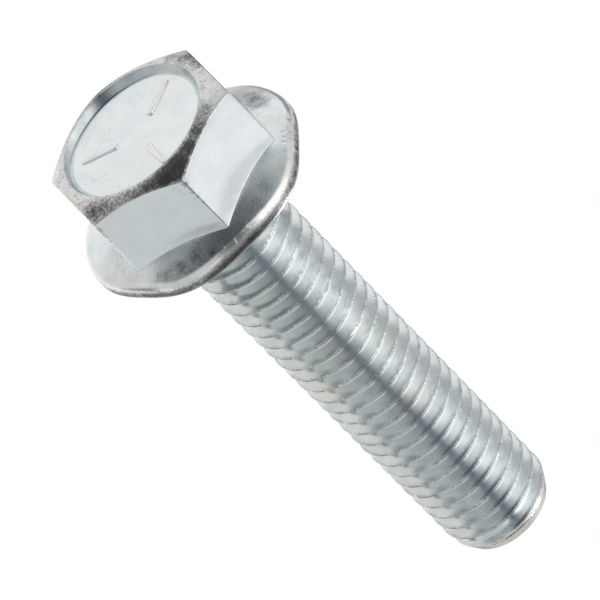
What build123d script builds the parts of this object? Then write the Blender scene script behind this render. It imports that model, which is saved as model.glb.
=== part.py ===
from build123d import *
import math
import os

# Hexagon flange bolt, 1/2-13 x 2 1/4 in, threaded close to the head. Millimetres.
# The bolt stands on its head: the head's top face is on z = 0, the axis is +Z and the
# thread points up. One corner of the hexagon faces -Y.

INCH = 25.4

# ---- Thread, right-handed ----
threads_per_inch = 13
major_diameter = 12.6        # 1/2 in, less the allowance of an outside thread
thread_depth = 0.59          # crest to root, in pitches
crest_flat = 0.148           # width of a crest along the axis, in pitches
flank_angle = 30.0           # of each flank, from a plane square to the axis
crest_phase = 0.89           # part of a pitch from the bearing face to a crest, on the -Y side

# ---- Shank ----
shank_length = 56.3          # bearing face to point: 2 1/4 in, less the length tolerance
neck_length = 1.15           # plain neck before the crests rise
neck_fillet = 0.6            # under the head
run_out_angle = 25.0         # from the axis, where the crests rise and the groove deepens
point_length = 1.95          # bevelled end of the thread
point_depth = 0.975          # of that bevel, from the crests in

# ---- Head ----
head_height = 11.45          # top face to bearing face
across_flats = 18.9          # at the top, the hexagon widens towards the flange
flat_draft = 0.8             # slope of the flats, in degrees
corner_radius = 0.35         # rounding of the six corners
crown_diameter = 18.5        # flat top inside the bevelled corners
crown_angle = 33.0           # bevel of the corners, from the top face

# ---- Flange ----
waist_radius = 12.65         # rim beside each corner of the hexagon
lobe_rise = 1.4              # from the waist out to where two sides of the rim would meet
lobe_rounding = 8.7          # nose of each lobe, beside the middle of each flat
rim_height = 1.82            # outer edge at the waist, before it is rounded
cone_angle = 26.7            # upper face, from a plane square to the axis
rim_upper_radius = 1.05
rim_lower_radius = 0.4

# ---- Recess in the top face ----
recess_diameter = 15.9
recess_depth = 1.0
recess_draft = 14.0          # of the wall, from the axis
recess_fillet = 0.35         # between wall and floor
recess_lip = 0.12            # rounding of the mouth

# ---- Raised radial marks on the recess floor ----
mark_count = 3
mark_start = 2.9             # centre of the wide inner end, from the axis
mark_gap = 0.97              # from the narrow outer end to the recess's mouth
mark_inner_radius = 0.42
mark_outer_radius = 0.28
mark_height = 0.14
mark_slope = 45.0            # of the sides, from the axis

# ---- Worked out from the sizes above ----
pitch = INCH / threads_per_inch
flank_rise = math.tan(math.radians(flank_angle))
major_radius = major_diameter / 2
minor_radius = major_radius - thread_depth * pitch
neck_radius = major_radius - (0.5 - crest_flat) * pitch / (2 * flank_rise)   # where ridge equals gap
recess_radius = recess_diameter / 2
total_length = head_height + shank_length
cutter_reach = crest_flat * pitch / (4 * flank_rise)   # past the crests, with its turns still apart


def turned(points):
    """Solid of revolution about the axis, from (radius, height) points in order."""
    outline = Polyline([(radius, 0, height) for radius, height in points], close=True)
    return revolve(make_face(outline), Axis.Z)


def polar(radius, degrees):
    """Point at an angle counted from the hexagon corner that faces -Y."""
    angle = math.radians(degrees - 90)
    return (radius * math.cos(angle), radius * math.sin(angle))


def hexagon():
    """Drafted hexagon with rounded corners, bevelled at the top."""
    section = RegularPolygon(across_flats / 2, 6, major_radius=False, rotation=30)
    section = fillet(section.vertices(), corner_radius)
    prism = extrude(section, head_height - rim_height / 2, taper=-flat_draft)
    crown_radius = crown_diameter / 2
    bevel = (across_flats - crown_radius) * math.tan(math.radians(crown_angle))
    crown = turned([
        (0, 0), (crown_radius, 0), (across_flats, bevel),
        (across_flats, total_length), (0, total_length),
    ])
    return prism & crown


def flange_outline():
    """Six shallow arcs joined by rounded lobes: upset metal bulges beside the flats."""
    nose = waist_radius + lobe_rise
    sides = [
        ThreePointArc(polar(nose, middle - 30), polar(waist_radius, middle), polar(nose, middle + 30))
        for middle in range(0, 360, 60)
    ]
    outline = make_face(Wire(sides))
    return fillet(outline.vertices(), lobe_rounding)


def flange():
    """Coned disc with a rounded rim and a flat bearing face."""
    slope = math.tan(math.radians(cone_angle))
    inner, outer = across_flats / 4, waist_radius * 2
    inner_height = head_height - rim_height - (waist_radius - inner) * slope
    outer_height = head_height - rim_height + (outer - waist_radius) * slope
    under_cone = turned([
        (0, inner_height), (inner, inner_height), (outer, outer_height),
        (outer, total_length), (0, total_length),
    ])
    disc = extrude(flange_outline(), head_height) & under_cone
    cone = disc.faces().filter_by(GeomType.CONE)[0]
    upper_rim = [edge for edge in cone.edges() if math.hypot((edge @ 0.5).X, (edge @ 0.5).Y) > inner * 2]
    disc = fillet(upper_rim, rim_upper_radius)
    lower_rim = disc.faces().sort_by(Axis.Z)[-1].edges()
    return fillet(lower_rim, rim_lower_radius)


def recess():
    """Shallow drafted pocket in the top face, as a solid to cut away."""
    floor_radius = recess_radius - recess_depth * math.tan(math.radians(recess_draft))
    pocket = turned([(0, 0), (recess_radius, 0), (floor_radius, recess_depth), (0, recess_depth)])
    floor_edge = pocket.faces().sort_by(Axis.Z)[-1].edges()
    return fillet(floor_edge, recess_fillet)


def mark(degrees):
    """Low tapered ridge on the recess floor, pointing away from the axis."""
    mark_end = recess_radius - mark_gap - mark_outer_radius
    ends = [
        Pos(*polar(mark_start, degrees)) * Circle(mark_inner_radius),
        Pos(*polar(mark_end, degrees)) * Circle(mark_outer_radius),
    ]
    foot = make_hull(ends[0].edges() + ends[1].edges())
    foot = Pos(0, 0, recess_depth) * foot
    rooted = extrude(foot, mark_height)
    raised = extrude(foot, mark_height, dir=(0, 0, -1), taper=mark_slope)
    return rooted + raised


def head():
    """Hexagon and flange, with the marked recess."""
    blank = hexagon() + flange() - recess()
    mouth = [edge for edge in blank.edges().filter_by(GeomType.CIRCLE)
             if abs(edge.center().Z) < recess_lip and edge.radius < crown_diameter / 2 - recess_lip]
    blank = fillet(mouth, recess_lip)
    for number in range(mark_count):
        blank += mark(number * 360 / mark_count)
    return blank


def thread_groove():
    """Helical cutter, one turn after another, that leaves the thread's ridge standing."""
    half_mouth = (1 - crest_flat) * pitch / 2
    half_root = half_mouth - flank_rise * (major_radius - minor_radius)
    reach = (major_radius + cutter_reach, half_mouth + flank_rise * cutter_reach)
    section = [(reach[0], -reach[1]), (minor_radius, -half_root), (minor_radius, half_root), reach]

    # A crest lies half a pitch from the groove, and -Y a quarter turn before the helix's start.
    first = head_height + (crest_phase + 0.5 + 0.25 - 2) * pitch
    turns = math.ceil((total_length + pitch - first) / pitch)
    corners = [Edge.make_helix(pitch, pitch, radius, center=(0, 0, first + offset))
               for radius, offset in section]
    walls = [Face.make_surface_from_curves(one, other)
             for one, other in zip(corners, corners[1:] + corners[:1])]
    faces = [wall.moved(Pos(0, 0, turn * pitch)) for turn in range(turns) for wall in walls]
    lift = Vector(0, 0, (turns - 1) * pitch)
    for end in ([edge @ 0 for edge in corners], [(edge @ 1) + lift for edge in corners]):
        faces.append(Face(Wire.make_polygon(end)))
    return Solid(Shell(faces))


def shank():
    """Neck, threaded length and bevelled point."""
    run_out = math.tan(math.radians(run_out_angle))
    neck_end = head_height + neck_length
    crest_start = neck_end + (major_radius - neck_radius) / run_out
    point_start = total_length - point_length
    blank = turned([
        (0, head_height / 2), (neck_radius, head_height / 2), (neck_radius, neck_end),
        (major_radius, crest_start), (major_radius, point_start),
        (major_radius - point_depth, total_length), (0, total_length),
    ])

    # The groove fades at both ends, because a cone cuts its cutter back.
    inside, outside = minor_radius / 2, major_radius + 2 * cutter_reach
    fade = (outside - inside) / run_out
    before_thread = turned([
        (0, 0), (outside, 0), (outside, neck_end), (inside, neck_end + fade), (0, neck_end + fade),
    ])
    fade_start = total_length - fade
    cutter_end = total_length + 2 * pitch
    after_thread = turned([
        (0, fade_start), (inside, fade_start), (outside, total_length),
        (outside, cutter_end), (0, cutter_end),
    ])
    return blank - (thread_groove() - before_thread - after_thread)


def bolt():
    """The whole bolt as one solid."""
    body = head() + shank()
    neck_root = [edge for edge in body.edges().filter_by(GeomType.CIRCLE)
                 if abs(edge.center().Z - head_height) < 0.01 and abs(edge.radius - neck_radius) < 0.01]
    return fillet(neck_root, neck_fillet)


os.makedirs("parts", exist_ok=True)
export_step(bolt(), "parts/flange_bolt.step")
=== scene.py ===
"""A zinc-plated hexagon flange bolt, standing on its head in a plain white studio."""
import logging
import math
from dataclasses import dataclass
from enum import Enum
from typing import Any, Optional, Union

import bmesh
import bpy
from mathutils import Matrix, Vector, noise


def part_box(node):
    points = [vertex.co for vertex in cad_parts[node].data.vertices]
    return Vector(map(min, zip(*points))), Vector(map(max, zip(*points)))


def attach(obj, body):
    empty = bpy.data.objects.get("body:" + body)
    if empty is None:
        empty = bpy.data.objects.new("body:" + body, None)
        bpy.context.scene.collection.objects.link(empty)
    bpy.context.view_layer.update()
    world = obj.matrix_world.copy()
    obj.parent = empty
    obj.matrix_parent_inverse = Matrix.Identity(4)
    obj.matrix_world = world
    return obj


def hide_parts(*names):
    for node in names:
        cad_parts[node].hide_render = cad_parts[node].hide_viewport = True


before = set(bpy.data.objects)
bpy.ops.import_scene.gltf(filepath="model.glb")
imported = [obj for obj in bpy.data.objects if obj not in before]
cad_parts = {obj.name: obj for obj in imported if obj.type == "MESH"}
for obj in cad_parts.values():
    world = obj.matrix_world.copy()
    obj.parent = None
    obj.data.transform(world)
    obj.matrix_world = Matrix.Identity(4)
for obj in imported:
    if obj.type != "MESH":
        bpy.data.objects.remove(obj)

MM = 0.001                     # metres in a millimetre
NODE = "flange_bolt"           # the CAD node that the finished pieces stand for
BODY = "root"

CLOUD_LIMITS = (0.35, 0.68)    # noise levels between which clean passivate turns cloudy
STRAW_LIMITS = (0.5, 0.75)     # and between which it takes its straw tint
STRAW_SHARE = 0.7              # of the strongest tint
STRAW_SPAN = 3                 # size of the tinted patches, in clouds
DARK_SPOT_CORE = 0.25              # share of a dark spot's radius within which it is full
HAIR_WIDTH = 0.006             # half width of a hair mark, as a step in its noise
HAIR_LIMITS = (0.42, 0.6)      # noise levels between which a cloud takes hair marks
DULLING = 0.15                 # how much rougher the deposit is than the passivate
SHARP_ANGLE = 40.0             # degrees from which an edge is shaded sharp
MEET_ROUNDS = 6                # rounds of closing in on where a cone meets the hexagon

log = logging.getLogger("flange_bolt")
Point = tuple[float, float]    # distance from the axis and height above the head's top, in millimetres
Triple = tuple[float, float, float]
Mesh = bmesh.types.BMesh
Tree = bpy.types.NodeTree
Socket = bpy.types.NodeSocket
Sockets = dict[str, Socket]


class Zone(Enum):
    """The surfaces of the bolt that were made in different ways, numbered as material slots."""

    FLOOR = 0
    WALL = 1
    CROWN = 2
    FLAT = 3
    CONE = 4
    RIM = 5
    UNDERSIDE = 6
    THREAD = 7
    CREST = 8
    POINT = 9


# ---------------------------------------------------------------- nodes and finishes


def linear(code: str) -> tuple[float, float, float, float]:
    """Turns an sRGB colour into the linear one that shaders take.

    Args:
        code: the colour as six hex digits after a hash.

    Returns:
        Red, green and blue in linear light, and an alpha of 1.
    """
    channels = [int(code[start:start + 2], 16) / 255 for start in (1, 3, 5)]
    red, green, blue = [c / 12.92 if c <= 0.04045 else ((c + 0.055) / 1.055) ** 2.4 for c in channels]
    return (red, green, blue, 1.0)


def add_node(tree: Tree, kind: str, inputs: Optional[dict[Union[str, int], Any]] = None,
             output: Union[str, int] = 0, **settings: Any) -> Optional[Socket]:
    """Adds one node with its settings and links.

    Args:
        tree: the node tree that the node goes into.
        kind: the node's type name, without ShaderNode in front.
        inputs: for each input, by name or number, a value or the output socket that feeds it.
        output: the wanted output, by name or number.
        **settings: the node's own properties.

    Returns:
        That output, or None where the node has none.
    """
    node = tree.nodes.new(f"ShaderNode{kind}")
    for name, value in settings.items():
        setattr(node, name, value)
    for name, value in (inputs or {}).items():
        if isinstance(value, Socket):
            tree.links.new(value, node.inputs[name])
        else:
            node.inputs[name].default_value = value
    return node.outputs[output] if node.outputs else None


def clear_tree(owner: Union[bpy.types.Material, bpy.types.World]) -> Tree:
    """Turns on the nodes of a material or a world, and empties them."""
    owner.use_nodes = True
    owner.node_tree.nodes.clear()
    return owner.node_tree


@dataclass(frozen=True)
class DarkSpot:
    """A round dark spot: painted dark reflection on the bevel and the flange, darker spots elsewhere."""

    place: Triple                  # its middle, in millimetres
    radius: float
    strength: float


@dataclass(frozen=True)
class Band:
    """A ring about the axis that darkens: painted shadow by the thread's crests; the rim's lower edge."""

    by_height: bool                # measured up the axis, or else out from it
    start: float                   # where it begins, in millimetres
    full: float                    # where it has its full strength
    strength: float


@dataclass(frozen=True)
class ZincPlate:
    """Zinc-plated steel under a clear blue passivate: a pale, cool, satin metal.

    The passivate lies in soft clouds, the deposit is fine-grained, and dark specks gather where
    the current scorched it. In some zones, dark spots and bands are painted shade and painted
    reflection. The steel below is never quite even, so mirrored edges waver.
    """

    name: str                      # of the surface; the material's name ends with it
    clean: str = "#E4E9EB"         # thin, clear passivate
    clouded: str = "#CFD8DA"       # thicker passivate, a little bluer
    warm: str = "#E6E1DA"          # faint straw tint of the same film
    burnt_and_shade: str = "#48484A"         # dark deposit, and the colour of painted shade and painted reflection
    roughness: float = 0.24
    cloud_mm: float = 2.2          # size of the clouds
    patch_mm: float = 1.3          # size of the patches of deposit
    speck_mm: float = 0.2          # dark specks, drawn about twice their real size so that they show
    deposit: float = -0.2          # how much dark colour there is, as deposit, and on the crests partly as painted shade; none below about -0.3
    mottle: float = 0.9            # how strongly the patches vary it
    grit: float = 1.2              # and how strongly the specks do
    grain_mm: float = 0.2          # grain of the deposit, drawn as coarse as it needs to show
    grain_slope: float = 0.03      # steepness of the grain
    hairs: float = 0.0             # fine curved marks, as much deposit as they hold
    hair_mm: float = 2.4           # size of their curves
    streak_mm: Triple = (0.3, 0.3, 4.0)   # streaks left by the dies, by axis
    streak_depth_mm: float = 0.002
    wave_mm: float = 3.5           # slow unevenness of the forged steel below
    wave_depth_mm: float = 0.006
    # Dark spots, some of them painted dark reflection.
    dark_spots: tuple[DarkSpot, ...] = ()
    bands: tuple[Band, ...] = ()

    def noises(self, tree: Tree, place: Socket) -> Sockets:
        """Adds the noises that the finish is made of, each at its real size.

        Args:
            tree: the material's nodes.
            place: the position on the bolt.

        Returns:
            Each noise by name; they run about evenly round 0.5.
        """
        kinds: dict[str, tuple[Union[float, Triple], int]] = {      # size in millimetres and detail
            "cloud": (self.cloud_mm, 5), "tint": (STRAW_SPAN * self.cloud_mm, 1),
            "patch": (self.patch_mm, 4), "speck": (self.speck_mm, 2), "grain": (self.grain_mm, 3),
            "streak": (self.streak_mm, 3), "wave": (self.wave_mm, 1), "hair": (self.hair_mm, 4),
        }
        field = {}
        for name, (size, detail) in kinds.items():
            sides = size if isinstance(size, tuple) else (size,) * 3
            scaled = add_node(tree, "Mapping", {
                "Vector": place, "Scale": [1 / (MM * side) for side in sides]})
            field[name] = add_node(tree, "TexNoise", {"Vector": scaled, "Scale": 1.0, "Detail": detail})
        return field

    def passivate(self, tree: Tree, field: Sockets) -> Socket:
        """Colours the passivate, with its clouds and its straw tint.

        Args:
            tree: the material's nodes.
            field: the noises.

        Returns:
            The colour.
        """
        cloud = add_node(tree, "MapRange", {0: field["cloud"], 1: CLOUD_LIMITS[0], 2: CLOUD_LIMITS[1]})
        plate = add_node(tree, "Mix", {
            0: cloud, 6: linear(self.clean), 7: linear(self.clouded)}, output=2, data_type="RGBA")
        straw = add_node(tree, "MapRange", {
            0: field["tint"], 1: STRAW_LIMITS[0], 2: STRAW_LIMITS[1], 4: STRAW_SHARE})
        return add_node(tree, "Mix", {
            0: straw, 6: plate, 7: linear(self.warm)}, output=2, data_type="RGBA")

    def darkening(self, tree: Tree, place: Socket, field: Sockets) -> Socket:
        """Gathers the dark colour: a thin, mottled deposit everywhere, thick in spots and bands.

        Some of the spots and bands are painted shade and painted reflection.

        Args:
            tree: the material's nodes.
            place: the position on the bolt.
            field: the noises.

        Returns:
            The share of the dark colour, from 0 to 1.
        """
        level: Union[float, Socket] = self.deposit - 0.5 * (self.mottle + self.grit)
        for name, share in (("patch", self.mottle), ("speck", self.grit)):
            level = add_node(tree, "Math", {0: field[name], 1: share, 2: level}, operation="MULTIPLY_ADD")
        darker_places = []           # distance, start, full and strength
        for dark_spot in self.dark_spots:
            away = add_node(tree, "VectorMath", {
                0: place, 1: [side * MM for side in dark_spot.place]}, output="Value", operation="DISTANCE")
            darker_places.append((away, dark_spot.radius, DARK_SPOT_CORE * dark_spot.radius, dark_spot.strength))
        for band in self.bands:
            axes = (0.0, 0.0, 1.0) if band.by_height else (1.0, 1.0, 0.0)
            along = add_node(tree, "VectorMath", {0: place, 1: axes}, operation="MULTIPLY")
            away = add_node(tree, "VectorMath", {0: along}, output="Value", operation="LENGTH")
            darker_places.append((away, band.start, band.full, band.strength))
        for away, start, full, strength in darker_places:
            near = add_node(tree, "MapRange", {
                0: away, 1: start * MM, 2: full * MM, 4: strength}, interpolation_type="SMOOTHSTEP")
            level = add_node(tree, "Math", {0: level, 1: near}, operation="ADD")
        if self.hairs:
            # A hair mark follows a level line of its noise, where the clouds let it.
            line = add_node(tree, "Math", {0: field["hair"], 1: 0.5, 2: HAIR_WIDTH}, operation="COMPARE")
            here = add_node(tree, "MapRange", {
                0: field["cloud"], 1: HAIR_LIMITS[0], 2: HAIR_LIMITS[1], 4: self.hairs})
            lifted = add_node(tree, "Math", {0: level, 1: 0.0}, operation="MAXIMUM")
            level = add_node(tree, "Math", {0: line, 1: here, 2: lifted}, operation="MULTIPLY_ADD")
        return add_node(tree, "MapRange", {0: level})

    def relief(self, tree: Tree, field: Sockets) -> Socket:
        """Stacks the relief too fine for the mesh: grain, die streaks and the forging's slow waves.

        Args:
            tree: the material's nodes.
            field: the noises.

        Returns:
            The normal.
        """
        depths = {"grain": 0.5 * self.grain_mm * self.grain_slope, "streak": self.streak_depth_mm,
                  "wave": self.wave_depth_mm}
        below: dict[Union[str, int], Any] = {}
        for name, depth in depths.items():
            below["Normal"] = add_node(tree, "Bump", {
                "Height": field[name], "Distance": depth * MM, **below})
        return below["Normal"]

    def material(self) -> bpy.types.Material:
        """Builds the node material.

        Returns:
            The material, ready for a slot.
        """
        material = bpy.data.materials.new(f"zinc_plated_steel_{self.name}")
        tree = clear_tree(material)
        place = add_node(tree, "TexCoord", output="Object")
        field = self.noises(tree, place)
        dark = self.darkening(tree, place, field)
        # Mixes in the dark colour: deposit, and in some zones painted shade and painted reflection.
        colour = add_node(tree, "Mix", {
            0: dark, 6: self.passivate(tree, field), 7: linear(self.burnt_and_shade)}, output=2, data_type="RGBA")
        rough = add_node(tree, "MapRange", {0: dark, 3: self.roughness, 4: self.roughness + DULLING})
        shader = add_node(tree, "BsdfPrincipled", {
            "Base Color": colour, "Metallic": 1.0, "Roughness": rough, "Normal": self.relief(tree, field)})
        add_node(tree, "OutputMaterial", {"Surface": shader})
        return material


# ---------------------------------------------------------------- shapes


def round_corner(before: Point, corner: Point, after: Point, radius: float, steps: int) -> list[Point]:
    """Rounds one corner of a profile with an arc.

    Args:
        before: the profile's point before the corner.
        corner: the sharp corner.
        after: the profile's point after the corner.
        radius: of the arc.
        steps: the arc's pieces.

    Returns:
        The arc's points, from one tangent point to the other.
    """
    here = Vector(corner)
    back, on = (Vector(before) - here).normalized(), (Vector(after) - here).normalized()
    half = back.angle(on) / 2
    centre = here + (back + on).normalized() * radius / math.sin(half)
    reach = radius / math.tan(half)
    first, last = (here + back * reach - centre).normalized(), (here + on * reach - centre).normalized()
    return [tuple(centre + first.slerp(last, step / steps) * radius) for step in range(steps + 1)]


def spread(first: Point, last: Point, count: int) -> list[Point]:
    """Spreads a number of points evenly between two others, and leaves those two out."""
    start, end = Vector(first), Vector(last)
    return [tuple(start.lerp(end, number / (count + 1))) for number in range(1, count + 1)]


def dark_spots_round(spots: list[tuple[float, float, float, float, float]]) -> tuple[DarkSpot, ...]:
    """Places dark spots by angle from the front corner, distance from the axis, height, radius, strength.
    """
    return tuple(
        DarkSpot((out * math.sin(math.radians(turn)), -out * math.cos(math.radians(turn)), height),
              radius, strength)
        for turn, out, height, radius, strength in spots)


def add_object(name: str, data: bpy.types.ID) -> bpy.types.Object:
    """Adds an object with the given data to the scene."""
    item = bpy.data.objects.new(name, data)
    bpy.context.scene.collection.objects.link(item)
    return item


def absorb(mesh: Mesh, other: Mesh) -> None:
    """Moves one mesh's geometry into another.

    Args:
        mesh: the mesh that grows.
        other: the mesh that is used up.
    """
    part = bpy.data.meshes.new("part")
    other.to_mesh(part)
    other.free()
    mesh.from_mesh(part)
    bpy.data.meshes.remove(part)


@dataclass(frozen=True)
class Corner:
    """One corner of the head's section."""

    point: Point
    rounding: float                # radius of its arc
    steps: int                     # pieces of that arc
    between: int                   # points on the straight run after it
    zone: Zone                     # the surface that follows it


@dataclass(frozen=True)
class Hump:
    """Something that swells and fades again round the head."""

    height: float
    at: float                      # degrees from the front corner
    width: float                   # half of it, in degrees

    def rise(self, turn: float) -> float:
        """Its height at an angle from the front corner, in radians."""
        return self.height * math.exp(-((math.degrees(turn) - self.at) / self.width) ** 2)


@dataclass
class HexHead:
    """The cold-headed end: hexagon with its recess, and the flange with its lobed rim."""

    height: float = 11.45          # top face to bearing face
    across_flats: float = 18.9
    flat_draft: float = 0.8        # degrees
    corner_radius: float = 0.35
    flat_swell: float = 0.2        # how much further out the flats lie at the back
    crown_radius: float = 8.3      # where the top begins to fall away, on the front
    crown_angle: float = 16.0      # first gently
    crown_swell: float = 0.6       # how much further out that is at the back
    crown_easing: float = 0.8      # and how much less steep, as a share
    knee_radius: float = 9.2       # and then, from here on, as the corners' bevel
    knee_swell: float = 0.1
    least_top: float = 0.06        # flat ring that is left round the recess at the least
    least_fall: float = 0.1        # and the least width of the gentle fall
    bevel_angle: float = 27.0
    crown_rounding: float = 0.8
    edge_rounding: float = 0.2     # between bevel and hexagon
    corner_wear: float = 0.2       # and what it grows by, for each mm of the bevel
    waist_radius: float = 12.64
    lobe_radius: float = 13.18
    upset: Hump = Hump(1.0, 122.0, 20.0)      # the rim bulges where the die let it, on both sides
    slack: Hump = Hump(0.14, -66.0, 18.0)     # and falls short beside one corner
    rim_height: float = 1.82
    cone_angle: float = 26.7
    rim_upper: float = 1.05
    rim_lower: float = 0.4
    foot_rounding: float = 0.12    # between the flats and the cone
    recess_radius: float = 7.95
    mouth_swell: float = 1.25      # the punch stood askew, so the mouth reaches further out here
    mouth_swell_at: float = 172.0
    floor_radius: float = 7.7
    floor_swell: float = 0.8       # and so does the floor
    floor_swell_at: float = 145.0
    recess_depth: float = 0.75
    recess_fillet: float = 0.5
    recess_lip: float = 0.12
    neck_radius: float = 5.706
    neck_fillet: float = 0.6
    rim_nicks: float = 0.06        # depth of the knocks in the rim
    nick_fineness: float = 1.6     # of those knocks, in waves for each mm
    nick_level: float = 0.1        # noise level from which there is a knock
    battering: Hump = Hump(3.0, -66.0, 16.0)  # how much deeper they are, as a share, beside one corner
    sides: int = 360               # pieces round the head
    crowding: float = 0.7          # how far those pieces gather at the six corners

    @staticmethod
    def backness(turn: float) -> float:
        """Runs from 0 at the front corner to 1 at the back one, for an angle in radians."""
        return (1 - math.cos(turn)) / 2

    @staticmethod
    def lean(turn: float, at: float) -> float:
        """Runs from 1 at one angle, in degrees, to 0 opposite it, for an angle in radians."""
        return ((1 + math.cos(turn - math.radians(at))) / 2) ** 2

    def rim_radius(self, turn: float) -> float:
        """Distance from the axis to the flange's rim, before it is rounded, at an angle in radians."""
        lobe = (self.lobe_radius - self.waist_radius) * (1 - math.cos(6 * turn)) / 2
        return self.waist_radius + lobe + self.upset.rise(abs(turn)) - self.slack.rise(turn)

    def hex_radius(self, turn: float, height: float) -> float:
        """Distance from the axis to the hexagon's surface.

        Args:
            turn: angle from a corner, in radians.
            height: above the top face.

        Returns:
            The distance in millimetres.
        """
        sixth = math.radians(60)
        off_corner = abs((turn + sixth / 2) % sixth - sixth / 2)
        apothem = self.across_flats / 2 + height * math.tan(math.radians(self.flat_draft))
        apothem += self.flat_swell * self.backness(turn)
        centre = (apothem - self.corner_radius) / math.cos(sixth / 2)
        tangent = math.atan2(self.corner_radius * math.sin(sixth / 2),
                             centre + self.corner_radius * math.cos(sixth / 2))
        if off_corner < tangent:
            side = centre * math.sin(off_corner)
            return centre * math.cos(off_corner) + math.sqrt(self.corner_radius ** 2 - side ** 2)
        return apothem / math.cos(sixth / 2 - off_corner)

    def meet(self, turn: float, base: Point, slope: float) -> Point:
        """Where a cone meets the hexagon at one angle.

        Args:
            turn: angle from a corner, in radians.
            base: one point of the cone's side.
            slope: the cone's rise for each millimetre outwards.

        Returns:
            The meeting point.
        """
        height = base[1]
        for _ in range(MEET_ROUNDS):
            radius = self.hex_radius(turn, height)
            height = base[1] + (radius - base[0]) * slope
        return (radius, height)

    def profile(self, turn: float) -> list[tuple[Point, Zone]]:
        """The head's section at one angle, from the recess's centre round to the neck.

        Args:
            turn: angle from a corner, in radians.

        Returns:
            The section's points, each with the zone of the surface that follows it.
        """
        cone = math.tan(math.radians(self.cone_angle))
        edge = self.rim_radius(turn)
        shoulder = self.height - self.rim_height
        floor_radius = self.floor_radius + self.floor_swell * self.lean(turn, self.floor_swell_at)
        mouth = self.recess_radius + self.mouth_swell * self.lean(turn, self.mouth_swell_at)
        back = self.backness(turn)
        crown_radius = max(self.crown_radius + self.crown_swell * back,
                           mouth + self.recess_lip + self.least_top)
        knee_radius = max(self.knee_radius + self.knee_swell * back, crown_radius + self.least_fall)
        fall = math.tan(math.radians(self.crown_angle * (1 - self.crown_easing * back)))
        knee = (knee_radius, (knee_radius - crown_radius) * fall)
        crown = self.meet(turn, knee, math.tan(math.radians(self.bevel_angle)))
        run = crown[0] - knee_radius
        foot = self.meet(turn, (self.waist_radius, shoulder), cone)
        corners = [
            Corner((0, self.recess_depth), 0, 0, 6, Zone.FLOOR),
            Corner((floor_radius, self.recess_depth), self.recess_fillet, 4, 2, Zone.WALL),
            Corner((mouth, 0), self.recess_lip, 4, 2, Zone.CROWN),
            Corner((crown_radius, 0), self.crown_rounding, 3, 3, Zone.CROWN),
            Corner(knee, self.crown_rounding * min(run, 1), 3, 3, Zone.CROWN),
            Corner(crown, self.edge_rounding + self.corner_wear * run, 7, 9, Zone.FLAT),
            Corner(foot, self.foot_rounding, 3, 5, Zone.CONE),
            Corner((edge, shoulder + (edge - self.waist_radius) * cone), self.rim_upper, 8, 0, Zone.RIM),
            Corner((edge, self.height), self.rim_lower, 5, 6, Zone.UNDERSIDE),
            Corner((self.neck_radius, self.height), self.neck_fillet, 5, 0, Zone.UNDERSIDE),
            Corner((self.neck_radius, self.height + 2 * self.neck_fillet), 0, 0, 0, Zone.UNDERSIDE),
        ]
        points: list[tuple[Point, Zone]] = []
        for number, corner in enumerate(corners):
            before = corners[number - 1]
            arc = [corner.point]
            if corner.rounding:
                arc = round_corner(before.point, corner.point, corners[number + 1].point, corner.rounding,
                                   corner.steps)
            if points:
                previous, zone = points[-1]
                points += [(p, zone) for p in spread(previous, arc[0], before.between)]
            # The bevel's darker finish, painted dark reflection in front, runs on over the worn edge, all
            # but its last pieces, and dims the highlight there.
            worn = corner.steps - 2 if corner.zone is Zone.FLAT else 0
            points += [(p, Zone.CROWN if step < worn else corner.zone) for step, p in enumerate(arc)]
        return points

    @staticmethod
    def painted_bevel_reflection_and_spots() -> tuple[DarkSpot, ...]:
        """Painted dark reflection all along the bevel's front, and dark spots further back."""
        return dark_spots_round([
            (-24, 9.2, 0.4, 1.9, 0.7), (-12, 9.3, 0.4, 2.1, 0.85), (0, 9.4, 0.5, 2.3, 1.0),
            (12, 9.3, 0.4, 2.1, 0.85), (24, 9.1, 0.3, 1.7, 0.5), (-36, 8.8, 0.2, 1.6, 0.65),
            (-47, 8.6, 0.1, 1.4, 0.5), (36, 8.8, 0.2, 1.5, 0.4), (48, 9.2, 0.4, 1.8, 0.5),
            (60, 9.9, 0.7, 2.0, 0.6), (66, 9.3, 0.3, 1.6, 0.35), (179.5, 8.9, 0.1, 1.2, 0.8),
            (-110, 9.6, 0.6, 1.9, 0.8), (-122, 9.2, 0.3, 1.3, 0.4), (-96, 9.4, 0.4, 1.5, 0.6),
        ])

    @staticmethod
    def painted_cone_reflection() -> tuple[DarkSpot, ...]:
        """Painted dark reflection on the flange's upper face, beside the front corner and on the far left.
        """
        return dark_spots_round([
            (-28, 11.6, 9.1, 1.3, 0.3), (-17, 11.8, 9.2, 1.6, 0.45), (-4, 12.0, 9.3, 1.5, 0.4),
            (9, 11.9, 9.2, 1.9, 0.4), (18, 11.8, 9.2, 2.1, 0.5), (27, 11.8, 9.2, 2.1, 0.5),
            (36, 11.8, 9.2, 1.8, 0.45), (44, 12.0, 9.3, 1.4, 0.3), (-96, 11.0, 8.9, 2.0, 0.65),
            (-106, 11.6, 9.0, 1.9, 0.55), (-118, 11.6, 9.0, 1.5, 0.35),
        ])

    @staticmethod
    def corner_streaks() -> tuple[DarkSpot, ...]:
        """Darker streaks down the hexagon's front corner and the next one, wide at the top and thin below.

        Returns:
            The dark spots.
        """
        front, beside = (0.0, -10.9), (9.45, -5.45)
        down = [(2.0, 0.8, 0.7), (2.9, 0.7, 0.75), (3.8, 0.5, 0.7), (4.7, 0.4, 0.6), (5.7, 0.3, 0.55),
                (6.8, 0.25, 0.45)]         # height, radius and strength
        below = [DarkSpot((*corner, height), radius, strength)
                 for corner in (front, beside) for height, radius, strength in down]
        return (DarkSpot((*front, 1.2), 1.0, 0.65), *below, DarkSpot((*beside, 1.2), 1.5, 0.45))

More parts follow.
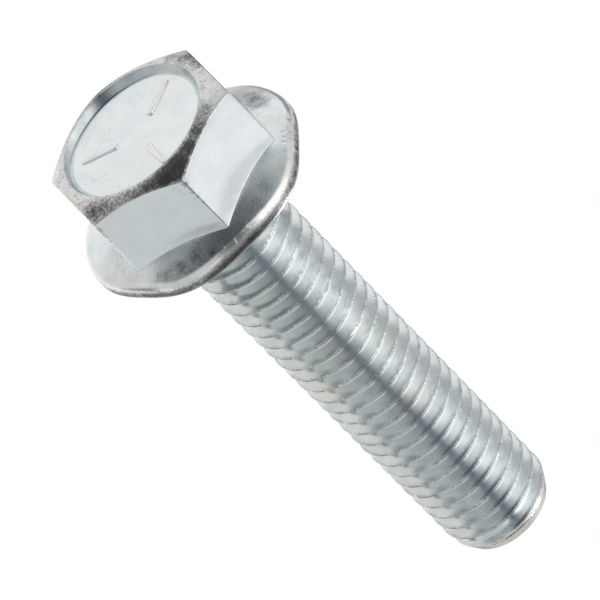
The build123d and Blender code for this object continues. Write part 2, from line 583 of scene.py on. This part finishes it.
    def build(self, mesh: Mesh) -> None:
        """Spins a round blank and presses it to the head's shape, open at the neck.

        Args:
            mesh: the mesh that the head is added to.
        """
        ring = mesh.verts.layers.int.new("ring")
        section = self.profile(0)
        verts = []
        for number, ((radius, height), _) in enumerate(section):
            vert = mesh.verts.new((0, -radius, height))
            vert[ring] = number
            verts.append(vert)
        edges = [mesh.edges.new(pair) for pair in zip(verts, verts[1:])]
        bmesh.ops.spin(mesh, geom=verts + edges, cent=(0, 0, 0), axis=(0, 0, 1), angle=2 * math.pi,
                       steps=self.sides, use_merge=True)
        sections: dict[int, list[tuple[Point, Zone]]] = {}
        for vert in mesh.verts:
            if vert.co.xy.length < 1e-6:
                continue
            even = math.atan2(vert.co.x, -vert.co.y)
            place = round(even * self.sides / (2 * math.pi))
            even = place * 2 * math.pi / self.sides
            turn = even - self.crowding * math.sin(6 * even) / 6
            if place not in sections:
                sections[place] = self.profile(turn)
            (radius, height), zone = sections[place][vert[ring]]
            if zone is Zone.RIM:
                spot = radius * self.nick_fineness
                knock = noise.noise((spot * math.sin(turn), spot * math.cos(turn), height))
                deeper = 1 + self.battering.rise(turn)
                radius -= self.rim_nicks * max(knock - self.nick_level, 0) * deeper
            vert.co = (radius * math.sin(turn), -radius * math.cos(turn), height)
        bmesh.ops.remove_doubles(mesh, verts=mesh.verts, dist=1e-4)
        for face in mesh.faces:
            face.material_index = section[min(vert[ring] for vert in face.verts)][1].value


@dataclass
class RolledShank:
    """The shank: neck, rolled right-hand thread and bevelled point."""

    length: float                  # whole bolt, head's top to point
    head_height: float
    neck_radius: float
    neck_start: float              # height at which the head's skin ends
    pitch: float = 25.4 / 13
    crest_radius: float = 6.3
    depth: float = 0.59            # in pitches
    crest_flat: float = 0.1        # in pitches, between its two rounded lips
    root_flat: float = 0.17        # in pitches
    crest_phase: float = 0.89      # pitches from the bearing face to a crest, on the front
    seam_depth: float = 0.03       # where the rolled crest's two lips meet
    lip: tuple[Point, ...] = ((0.0, -0.05), (0.012, -0.01), (0.035, 0.016), (0.075, 0.04))
    # The lip's points: how far below the crest and how far past its edge each one lies.
    foot: tuple[Point, ...] = ((0.09, -0.055), (0.03, -0.01), (0.0, 0.06))
    # The rounded root's points: how far above the root and how far past its edge.
    flank_pieces: int = 7
    hollow: float = 0.006          # how far the flanks are hollow
    crest_skin: float = 0.05       # depth down to which the surface has the crests' finish
    nick_depth: float = 0.022      # of the nicks in the crests
    nick_reach: float = 0.02       # depth down to which the crests are nicked
    nick_waves: tuple[Point, ...] = ((1.3, 1.0), (4.1, 0.6))   # of the nicks, waves for each mm and share
    neck_length: float = 1.15
    run_out_angle: float = 25.0
    cutter_reach: float = 0.25     # how far past the crests the groove's run-outs begin
    point_length: float = 1.95
    point_depth: float = 0.975
    end_rings: tuple[Point, ...] = ((0.1, 0.0), (0.9, 0.0), (3.0, 0.06))
    # The end face's rings: how far in from the bevel and how far below the end each one lies.
    sides: int = 80                # pieces round one turn

    def ridge(self) -> list[Point]:
        """One pitch of the thread's section, from seam to seam.

        Returns:
            Distance from the axis and height of each point.
        """
        top, low = self.crest_radius, self.crest_radius - self.depth * self.pitch
        lip, foot = self.crest_flat * self.pitch / 2, (1 - self.root_flat) * self.pitch / 2
        half = [(top - self.seam_depth, 0)] + [(top - below, lip + past) for below, past in self.lip]
        root = [(low + above, foot + past) for above, past in self.foot]
        start, end = Vector(half[-1]), Vector(root[0])
        inwards = (end - start).normalized().orthogonal()
        if inwards.x > 0:
            inwards.negate()
        for step in range(1, self.flank_pieces):
            share = step / self.flank_pieces
            bow = 4 * share * (1 - share) * self.hollow
            half.append(tuple(start.lerp(end, share) + inwards * bow))
        half += [*root, (low, self.pitch / 2)]
        mirrored = [(radius, self.pitch - height) for radius, height in half[-2::-1]]
        return half + mirrored

    def limits(self, height: float) -> Point:
        """How far in and out the surface may lie at one height, where the thread runs out.

        Args:
            height: above the head's top.

        Returns:
            The least and the greatest distance from the axis.
        """
        run_out = math.tan(math.radians(self.run_out_angle))
        neck_end = self.head_height + self.neck_length
        outside = self.crest_radius + self.cutter_reach
        least = max(outside - (height - neck_end) * run_out, outside - (self.length - height) * run_out)
        to_point = height - (self.length - self.point_length)
        most = min(
            self.crest_radius,
            self.neck_radius + max(height - neck_end, 0) * run_out,
            self.crest_radius - max(to_point, 0) * self.point_depth / self.point_length,
        )
        return (least, most)

    def build(self, mesh: Mesh) -> None:
        """Sweeps the thread's section along its helix and trims it to the shank, open at the neck.

        Args:
            mesh: an empty mesh for the shank.
        """
        # The sweep begins inside the head and ends past the point, and both ends are cut off.
        first = self.head_height + (self.crest_phase - 3) * self.pitch
        turns = math.ceil((self.length - first) / self.pitch) + 1
        verts = [mesh.verts.new((0, -radius, first + height)) for radius, height in self.ridge()]
        edges = [mesh.edges.new(pair) for pair in zip(verts, verts[1:])]
        bmesh.ops.spin(mesh, geom=verts + edges, cent=(0, 0, 0), axis=(0, 0, 1),
                       dvec=(0, 0, self.pitch / self.sides), angle=2 * math.pi, steps=self.sides)
        one_turn = mesh.verts[:] + mesh.edges[:] + mesh.faces[:]
        for number in range(1, turns):
            copy = bmesh.ops.duplicate(mesh, geom=one_turn)["geom"]
            moved = [item for item in copy if isinstance(item, bmesh.types.BMVert)]
            bmesh.ops.translate(mesh, verts=moved, vec=(0, 0, number * self.pitch))
        bmesh.ops.remove_doubles(mesh, verts=mesh.verts, dist=1e-3)
        neck_end = self.head_height + self.neck_length
        point_start = self.length - self.point_length
        for cut, below, above in ((self.neck_start, True, False), (neck_end, False, False),
                                  (point_start, False, False), (self.length, False, True)):
            bmesh.ops.bisect_plane(mesh, geom=mesh.verts[:] + mesh.edges[:] + mesh.faces[:], dist=1e-4,
                                   plane_co=(0, 0, cut), plane_no=(0, 0, 1),
                                   clear_inner=below, clear_outer=above)
        for vert in mesh.verts:
            radius = vert.co.xy.length
            least, most = self.limits(vert.co.z)
            vert.co.xy *= min(max(radius, least), most) / radius
        for face in mesh.faces:
            middle = face.calc_center_median()
            crest = middle.xy.length > self.crest_radius - self.crest_skin
            face.material_index = (Zone.CREST if crest else Zone.THREAD).value
        for vert in mesh.verts:
            on_crest = self.crest_radius - vert.co.xy.length < self.nick_reach
            if on_crest and neck_end < vert.co.z < point_start:
                nick = sum(share * noise.noise(vert.co * fineness) for fineness, share in self.nick_waves)
                vert.co.xy *= 1 - self.nick_depth * max(nick, 0) / self.crest_radius
        self.close_point(mesh)

    def close_point(self, mesh: Mesh) -> None:
        """Closes the flat end and gives the point its finish.

        Args:
            mesh: the shank's mesh, open at the point.
        """
        rim = [edge for edge in mesh.edges
               if edge.is_boundary and all(abs(vert.co.z - self.length) < 1e-3 for vert in edge.verts)]
        end_radius = self.crest_radius - self.point_depth
        for inwards, sunk in self.end_rings:
            grown = bmesh.ops.extrude_edge_only(mesh, edges=rim)["geom"]
            rim = [item for item in grown if isinstance(item, bmesh.types.BMEdge)]
            for vert in {vert for edge in rim for vert in edge.verts}:
                vert.co.xy *= (end_radius - inwards) / vert.co.xy.length
                vert.co.z = self.length - sunk
        bmesh.ops.holes_fill(mesh, edges=rim)
        point_start = self.length - self.point_length
        for face in mesh.faces:
            if face.calc_center_median().z > point_start:
                face.material_index = Zone.POINT.value


@dataclass
class GradeMarks:
    """Three raised dashes on the recess's floor, for the strength grade."""

    floor_height: float
    count: int = 3
    start: float = 2.9
    end: float = 6.7
    inner_radius: float = 0.42
    outer_radius: float = 0.28
    height: float = 0.18
    root: float = 0.15             # how deep they stand in the floor
    slope: float = 0.16            # width of the sloping sides
    segments: int = 32             # pieces round a dash
    steps: int = 4                 # rings of its rounded sides

    def build(self, mesh: Mesh) -> None:
        """Builds each dash as a tapered ridge.

        Args:
            mesh: the mesh that the dashes are added to.
        """
        for number in range(self.count):
            dash = self.dash()
            turn = Matrix.Rotation(math.radians(number * 360 / self.count), 4, "Z")
            flip = Matrix.Rotation(math.pi, 4, "X")
            bmesh.ops.transform(dash, matrix=turn @ Matrix.Translation((0, 0, self.floor_height)) @ flip,
                                verts=dash.verts)
            absorb(mesh, dash)

    def dash(self) -> Mesh:
        """Builds one tapered ridge along +Y, upright, with the floor at height 0.

        Returns:
            The ridge as a new mesh.
        """
        mesh = bmesh.new()
        disc = bmesh.ops.create_circle(mesh, cap_ends=True, radius=self.inner_radius,
                                       segments=self.segments)
        for vert in disc["verts"]:
            if vert.co.y > 1e-6:
                vert.co *= self.outer_radius / self.inner_radius
                vert.co.y += self.end - self.start
        bmesh.ops.translate(mesh, verts=mesh.verts, vec=(0, self.start, -self.root))
        bmesh.ops.recalc_face_normals(mesh, faces=mesh.faces)
        grown = bmesh.ops.extrude_face_region(mesh, geom=mesh.faces[:], use_keep_orig=True)["geom"]
        top = [item for item in grown if isinstance(item, bmesh.types.BMFace)]
        bmesh.ops.translate(mesh, verts=top[0].verts, vec=(0, 0, self.root))
        bmesh.ops.recalc_face_normals(mesh, faces=mesh.faces)
        for step in range(self.steps):
            now, then = [math.radians(90 * part / self.steps) for part in (step, step + 1)]
            bmesh.ops.inset_region(mesh, faces=top, thickness=self.slope * (math.cos(now) - math.cos(then)),
                                   use_even_offset=True)
            lift = self.height * (math.sin(then) - math.sin(now))
            bmesh.ops.translate(mesh, verts=top[0].verts, vec=(0, 0, lift))
            mesh.normal_update()
        return mesh


class Bolt:
    """The whole bolt, dressed."""

    joint_gap: float = 0.05        # between the head's skin and the shank's, before they are bridged

    def __init__(self, low: Vector, high: Vector) -> None:
        """Sizes the bolt from its box.

        Args:
            low: the CAD part's lowest corner, in metres.
            high: its highest corner.
        """
        self.head = HexHead()
        self.shank = RolledShank(
            length=(high.z - low.z) / MM, head_height=self.head.height,
            neck_radius=self.head.neck_radius,
            neck_start=self.head.height + 2 * self.head.neck_fillet + self.joint_gap,
        )
        self.marks = GradeMarks(floor_height=self.head.recess_depth)
        self.materials = self.finishes()

    def finishes(self) -> dict[Zone, bpy.types.Material]:
        """One material for each zone.

        Returns:
            The materials by zone.
        """
        plates = {
            # Struck by a smooth punch: an even, satin grey-white with a few hair marks.
            Zone.FLOOR: ZincPlate("recess", roughness=0.28, deposit=-0.5, hairs=0.22,
                                  clean="#EBEFF0", clouded="#E2E7E9", warm="#EBE9E6"),
            # The recess's wall: a cooler, bluer and darker grey, which is painted shade in the recess.
            Zone.WALL: ZincPlate("recess_wall", clean="#CFD8DB", clouded="#A7B5BA", warm="#C9D0D0",
                                 roughness=0.2),
            # Corners take the most current: a coarse, peppered deposit. The bevel's near-black front is
            # painted dark reflection, with dark spots further back.
            Zone.CROWN: ZincPlate("bevel", deposit=0.05, grain_slope=0.16, grain_mm=0.22, mottle=1.3,
                                  grit=1.9, speck_mm=0.24, clean="#DEDFDD", clouded="#CDD0CF",
                                  warm="#E1DDD7", burnt_and_shade="#626063", dark_spots=self.head.painted_bevel_reflection_and_spots()),
            # Flats are pressed by polished dies: the smoothest and cleanest, with darker streaks on two
            # corners.
            Zone.FLAT: ZincPlate("flat", deposit=-0.4, roughness=0.2, hairs=0.12, wave_depth_mm=0.003,
                                 clean="#E9ECEE", clouded="#E1E6E8", warm="#E6E8E8",
                                 dark_spots=self.head.corner_streaks()),
            # The cone is free-formed steel, brighter and darker by turns; its grainy dark patches are
            # painted dark reflection.
            Zone.CONE: ZincPlate("flange", deposit=-0.1, grain_slope=0.1, grain_mm=0.24, roughness=0.2,
                                 dark_spots=self.head.painted_cone_reflection()),
            # The rim is a roll whose lighter colour is painted highlight; it turns brown-black towards its
            # lower edge.
            Zone.RIM: ZincPlate("rim", clean="#EDEFEF", clouded="#D9DDDE", deposit=-0.15,
                                grain_slope=0.1, roughness=0.18, burnt_and_shade="#4E4844",
                                bands=(Band(True, 9.9, 10.75, 0.95),)),
            # The bearing face lay against a rack: dull and evenly grey.
            Zone.UNDERSIDE: ZincPlate("bearing_face", roughness=0.32, deposit=0.35, burnt_and_shade="#6A6E72"),
            # Rolling burnishes the flanks: glossy, with fine lines round the shank. Their darkening
            # towards the crests is painted shadow.
            Zone.THREAD: ZincPlate("rolled_thread", deposit=-0.35, roughness=0.17,
                                   streak_mm=(2.5, 2.5, 0.12), streak_depth_mm=0.003,
                                   # The band is painted shadow on the flanks next to the crests.
                                   clouded="#D3DBDD", warm="#E2E3E0", bands=(Band(False, 5.8, 6.25, 0.5),)),
            # Crests are nicked and unevenly plated, with dark flecks: a thin, broken glint. Part of their
            # darkening is painted shade along the crest line.
            Zone.CREST: ZincPlate("crest", deposit=0.28, grit=1.6, speck_mm=0.25,
                                  grain_slope=0.2, grain_mm=0.3, roughness=0.2, wave_depth_mm=0.0),
            # The point is as it was cut before rolling: pale, a little warm, lightly specked.
            Zone.POINT: ZincPlate("point", deposit=-0.05, grit=1.5, grain_slope=0.1,
                                  clean="#EBEBE9", clouded="#DEDEDC"),
        }
        return {zone: plate.material() for zone, plate in plates.items()}

    def finish_piece(self, name: str, mesh: Mesh, zones: list[Zone]) -> None:
        """Turns a mesh in millimetres into a finished piece that rides on the bolt's body.

        Args:
            name: the piece's name.
            mesh: its mesh, which is used up.
            zones: the zone of each material slot.
        """
        bmesh.ops.recalc_face_normals(mesh, faces=mesh.faces)
        bmesh.ops.scale(mesh, vec=(MM,) * 3, verts=mesh.verts)
        data = bpy.data.meshes.new(name)
        mesh.to_mesh(data)
        mesh.free()
        data.shade_smooth()
        data.set_sharp_from_angle(angle=math.radians(SHARP_ANGLE))
        for zone in zones:
            data.materials.append(self.materials[zone])
        piece = add_object(name, data)
        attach(piece, BODY)
        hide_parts(NODE)
        log.info("%s: %d faces", name, len(data.polygons))

    def build(self) -> None:
        """Builds the bolt's skin and its marks."""
        skin = bmesh.new()
        self.head.build(skin)
        shank = bmesh.new()
        self.shank.build(shank)
        absorb(skin, shank)
        bmesh.ops.bridge_loops(skin, edges=[edge for edge in skin.edges if edge.is_boundary])
        self.finish_piece("bolt_skin", skin, list(Zone))
        marks = bmesh.new()
        self.marks.build(marks)
        self.finish_piece("grade_marks", marks, [Zone.FLOOR])


# ---------------------------------------------------------------- studio


@dataclass(frozen=True)
class Panel:
    """Something that hangs round the bolt and shows in the metal: a soft box or a grey or black flag."""

    name: str
    towards: Triple                # direction from the bolt
    across: Triple                 # direction in which its width is measured
    width: float                   # half of it, as a sine
    reach: float                   # half its length, as a sine
    colour: str
    level: float = 1.0             # brightness; 1 is the white of the tent
    soft: float = 0.35             # share of its size over which its edge fades


@dataclass
class Studio:
    """White surroundings, a soft lamp, a pale floor and the camera; metres and degrees."""

    aim: float = 0.4325            # height that the camera looks at, as a share of the bolt's length
    elevation: float = -35.52      # of the camera, which looks at the head from below its top
    roll: float = 45.45
    distance: float = 0.6135
    lens: float = 355.6            # millimetres, as is the sensor
    sensor: float = 36.0
    clip: tuple[float, float] = (0.01, 10.0)
    lamp_watts: float = 6.0
    lamp_size: float = 0.5
    lamp_place: Triple = (-0.55, -0.35, 0.9)
    floor_reach: float = 3.0       # from the middle to each side
    floor_drop: float = 0.02 * MM  # below the head's top, so that the two don't touch
    floor_fade: tuple[float, float] = (0.1, 0.6)   # distances between which it fades away

    def camera(self, length: float) -> None:
        """Adds the camera.

        Args:
            length: the bolt's length in metres.
        """
        lift = math.radians(self.elevation)
        back = Vector((0, -math.cos(lift), math.sin(lift)))
        along = Vector((0, math.sin(lift), math.cos(lift)))
        spin = math.radians(self.roll)
        across = Vector((1, 0, 0))
        right = along * math.cos(spin) - across * math.sin(spin)
        up = -along * math.sin(spin) - across * math.cos(spin)
        data = bpy.data.cameras.new("camera")
        data.lens, data.sensor_width = self.lens, self.sensor
        data.clip_start, data.clip_end = self.clip
        camera = add_object("camera", data)
        turn = Matrix((right, up, back)).transposed().to_4x4()
        place = Vector((0, 0, length * self.aim)) + back * self.distance
        camera.matrix_world = Matrix.Translation(place) @ turn
        bpy.context.scene.camera = camera

    def panels(self) -> list[Panel]:
        """What hangs in the tent; where two meet, the later one is in front.

        Returns:
            The soft boxes, grey walls and flags.
        """
        side = (1.0, 0.0, 0.0)
        return [
            Panel("dark ceiling", (0.0, 0.0, 1.0), side, 0.77, 0.77, "#7C7872", soft=0.1),
            Panel("dark ceiling, front", (0.0, -0.56, 0.83), side, 0.5, 0.42, "#5A544E", soft=0.15),
            Panel("soft box, above", (0.0, 0.36, 0.93), side, 0.34, 0.36, "#FFFDF8"),
            Panel("grey wall, front left", (-0.72, -0.62, 0.3), (0.65, -0.76, 0.0), 0.6, 0.3, "#CACDCF"),
            Panel("grey wall, front right", (0.3, -0.9, 0.3), (0.95, 0.3, 0.0), 0.5, 0.3, "#B0B3B3"),
            Panel("soft box, left", (-0.6, -0.66, -0.38), (0.74, -0.67, 0.0), 0.47, 0.74, "#FCFBF8", 1.35,
                  soft=0.28),
            Panel("soft box, upper left", (-0.71, -0.42, 0.56), (0.5, -0.85, 0.0), 0.22, 0.22, "#F8FAFB",
                  0.84),
            Panel("grey wall, right", (0.7, -0.45, -0.45), (0.54, 0.84, 0.0), 0.62, 0.8, "#D4D8D7", 0.95),
            Panel("grey wall, upper right", (0.71, -0.42, 0.56), (0.5, 0.85, 0.0), 0.25, 0.25, "#D6DBDB"),
            Panel("flag, right", (0.95, 0.25, -0.17), (-0.26, 0.97, 0.0), 0.18, 0.6, "#8C908E"),
            Panel("grey wall, left", (-0.95, 0.28, 0.1), (0.28, 0.96, 0.0), 0.36, 0.85, "#E2E2E4"),
            Panel("flag, lower left", (-0.62, 0.22, -0.74), side, 0.3, 0.22, "#BFC3C5", soft=0.5),
            Panel("flag, lower right", (0.55, 0.2, -0.8), side, 0.18, 0.2, "#979C9C", soft=0.5),
            Panel("flag, back left", (-0.6, 0.8, 0.12), (0.8, 0.6, 0.0), 0.42, 0.3, "#9A9CA2", soft=0.3),
            Panel("warm wall, back right", (0.75, 0.5, -0.42), (0.55, -0.83, 0.0), 0.45, 0.42, "#E6E4E0"),
            Panel("flag, back", (0.0, 0.96, 0.28), side, 0.1, 0.6, "#9A9C9C"),
            Panel("gap for the camera", (0.03, -0.75, -0.66), side, 0.18, 0.95, "#515B66", soft=0.6),
            Panel("flag, below", (0.0, 0.14, -0.99), side, 0.4, 0.34, "#565D64", soft=0.6),
            Panel("flag, front", (0.02, -0.14, -0.99), side, 0.2, 0.2, "#3E4348", soft=0.5),
        ]

    def world(self) -> None:
        """Makes a white tent: plain white to the camera, with its panels in what the metal mirrors."""
        world = bpy.data.worlds.new("tent")
        tree = clear_tree(world)
        direct = add_node(tree, "LightPath", output="Is Camera Ray")
        towards = add_node(tree, "TexCoord", output="Generated")
        tent = linear("#FFFFFF")
        for panel in self.panels():
            facing = Vector(panel.towards).normalized()
            across = Vector(panel.across)
            across = (across - facing * across.dot(facing)).normalized()
            along = facing.cross(across)
            parts = [
                add_node(tree, "VectorMath", {0: towards, 1: axis}, operation="DOT_PRODUCT",
                         output="Value", label=panel.name)
                for axis in (facing, across / panel.width, along / panel.reach)]
            flat = add_node(tree, "CombineXYZ", {0: parts[1], 1: parts[2]})
            away = add_node(tree, "VectorMath", {0: flat}, output="Value", operation="LENGTH")
            inside = add_node(tree, "MapRange", {
                0: away, 1: 1 + panel.soft, 2: 1 - panel.soft}, interpolation_type="SMOOTHSTEP")
            ahead = add_node(tree, "Math", {0: parts[0], 1: 0.0}, operation="GREATER_THAN")
            share = add_node(tree, "Math", {0: inside, 1: ahead}, operation="MULTIPLY")
            shade = [channel * panel.level for channel in linear(panel.colour)[:3]] + [1.0]
            tent = add_node(tree, "Mix", {0: share, 6: tent, 7: shade}, output=2, data_type="RGBA")
        seen = add_node(tree, "Mix", {
            0: direct, 6: tent, 7: linear("#FFFFFF")}, output=2, data_type="RGBA")
        back = add_node(tree, "Background", {"Color": seen, "Strength": 1.0})
        add_node(tree, "OutputWorld", {"Surface": back})
        bpy.context.scene.world = world

    def lamp(self, length: float) -> None:
        """Adds the soft lamp that throws the bolt's shadow.

        Args:
            length: the bolt's length in metres.
        """
        data = bpy.data.lights.new("soft_lamp", "AREA")
        data.shape, data.size, data.energy = "DISK", self.lamp_size, self.lamp_watts
        lamp = add_object("soft_lamp", data)
        lamp.location = self.lamp_place
        aim = Vector((0, 0, length / 2)) - lamp.location
        lamp.rotation_euler = aim.to_track_quat("-Z", "Y").to_euler()
        lamp.visible_camera = False

    def floor(self, height: float) -> None:
        """Adds the floor, which is seen from above only and fades into the white round it.

        Args:
            height: of the floor, in metres.
        """
        mesh = bmesh.new()
        bmesh.ops.create_grid(mesh, x_segments=1, y_segments=1, size=self.floor_reach)
        bmesh.ops.translate(mesh, verts=mesh.verts, vec=(0, 0, height - self.floor_drop))
        data = bpy.data.meshes.new("floor")
        mesh.to_mesh(data)
        mesh.free()
        floor = add_object("floor", data)
        # White studio paper: matt and without a grain that would show.
        material = bpy.data.materials.new("white_paper")
        tree = clear_tree(material)
        paper = add_node(tree, "BsdfDiffuse", {"Color": linear("#F6F6F6")})
        clear = add_node(tree, "BsdfTransparent")
        place = add_node(tree, "TexCoord", output="Object")
        away = add_node(tree, "VectorMath", {0: place}, output="Value", operation="LENGTH")
        faded = add_node(tree, "MapRange", {
            0: away, 1: self.floor_fade[0], 2: self.floor_fade[1]}, interpolation_type="SMOOTHSTEP")
        below = add_node(tree, "NewGeometry", output="Backfacing")
        gone = add_node(tree, "Math", {0: faded, 1: below}, operation="MAXIMUM")
        mix = add_node(tree, "MixShader", {0: gone, 1: paper, 2: clear})
        add_node(tree, "OutputMaterial", {"Surface": mix})
        data.materials.append(material)
        for ray in ("glossy", "diffuse", "shadow", "transmission"):
            setattr(floor, f"visible_{ray}", False)


def main() -> None:
    """Builds the bolt and its studio, in order."""
    logging.basicConfig(level=logging.INFO, format="%(name)s: %(message)s")
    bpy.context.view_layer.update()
    low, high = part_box(NODE)
    Bolt(low, high).build()
    studio = Studio()
    studio.world()
    studio.lamp(high.z - low.z)
    studio.floor(low.z)
    studio.camera(high.z - low.z)
    bpy.context.scene.view_settings.view_transform = "Standard"


if __name__ == "__main__":
    main()
